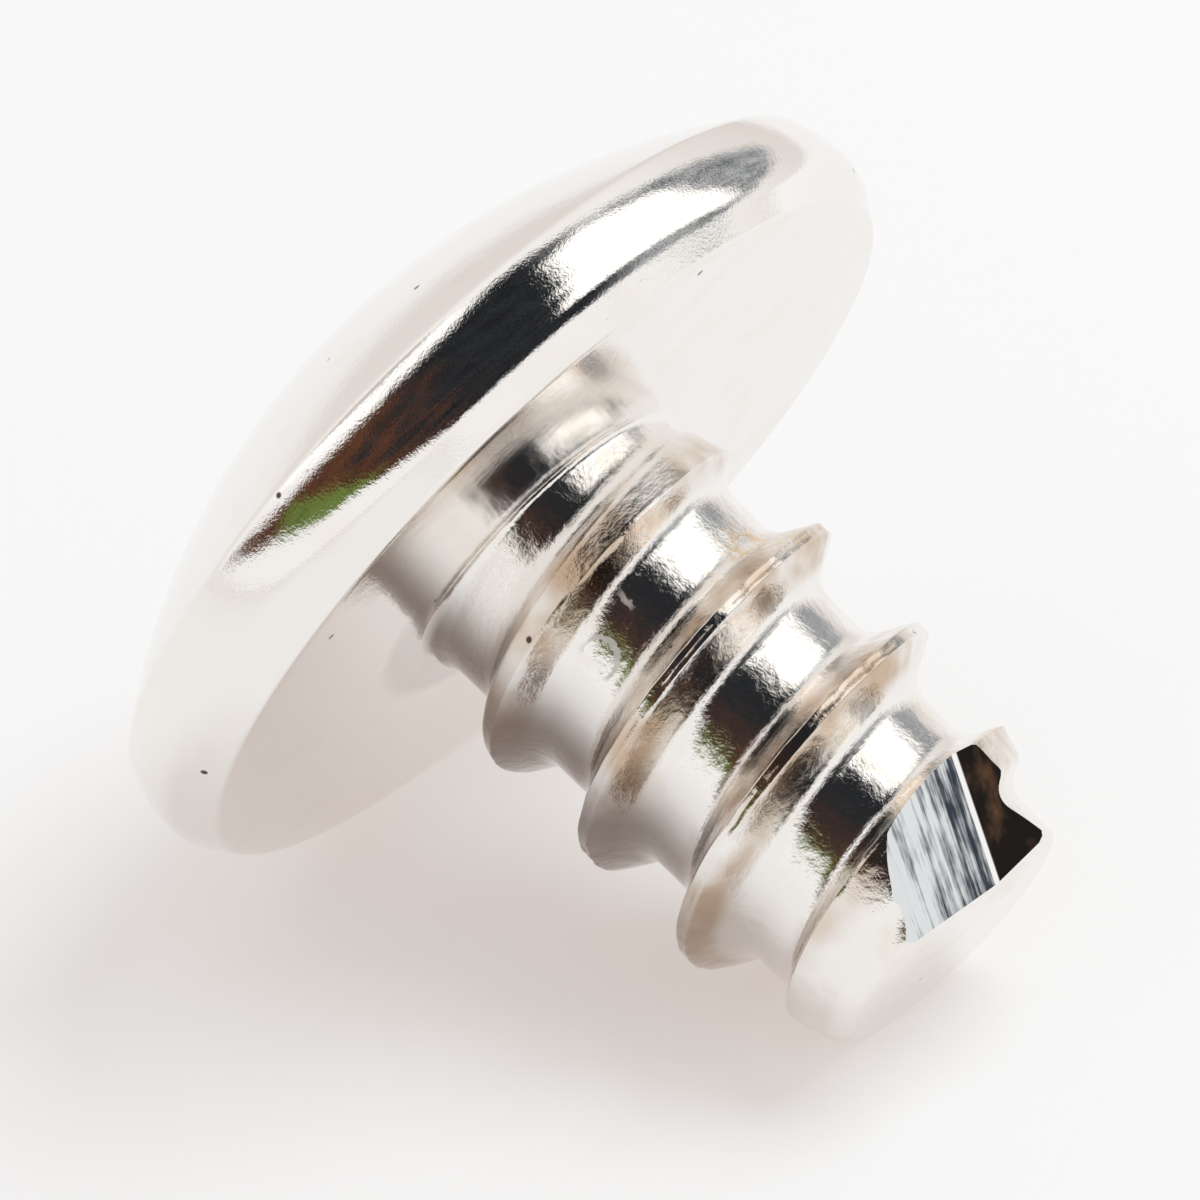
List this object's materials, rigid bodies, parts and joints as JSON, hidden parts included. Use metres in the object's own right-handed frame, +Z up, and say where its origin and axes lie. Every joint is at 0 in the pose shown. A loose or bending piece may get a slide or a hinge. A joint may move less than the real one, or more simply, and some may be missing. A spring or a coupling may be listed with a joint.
{
  "type": "self-tapping screw",
  "caption": "Short self-tapping screw with a low domed truss head, a cross recess, a coarse thread and a blunt end with a cutting notch.",
  "frame": {"origin": "bottom centre of the bounding box, on the surface that the screw lies on", "axes": "+X towards the screw's end in plan, +Z up; the screw lies on its side, so its own axis points along +X and 28.4 degrees down"},
  "size_m": [0.009, 0.0096, 0.0086],
  "materials": {
    "nickel_plate": "bright nickel plate over steel"
  },
  "bodies": {
    "root": {"screw": "nickel_plate"}
  },
  "joints": []
}
